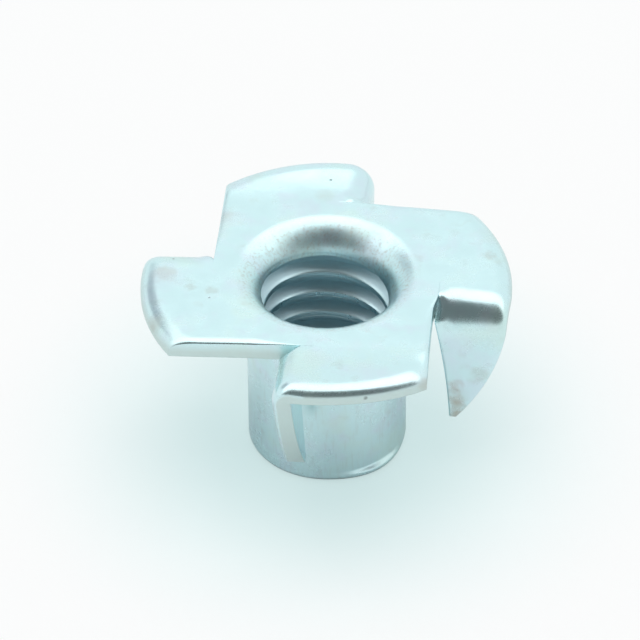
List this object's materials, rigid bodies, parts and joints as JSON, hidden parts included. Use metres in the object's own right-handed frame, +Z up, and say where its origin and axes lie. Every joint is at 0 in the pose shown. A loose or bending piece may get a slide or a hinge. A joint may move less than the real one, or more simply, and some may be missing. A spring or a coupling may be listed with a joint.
{
  "type": "tee nut",
  "caption": "One-piece sheet-steel tee nut: a pinwheel flange with prongs folded down from its notches and a drawn, internally threaded barrel.",
  "frame": {"origin": "centre of the open end of the barrel, on the axis", "axes": "+Z up the axis towards the flange, +X through the lobe whose prong faces -Y"},
  "size_m": [0.02, 0.02, 0.0111],
  "materials": {
    "zinc_plated_steel": "clear zinc plating on cold-formed sheet steel, bright, with faint brown stains and draw marks"
  },
  "bodies": {
    "root": {"tee_nut": "zinc_plated_steel"}
  },
  "joints": []
}
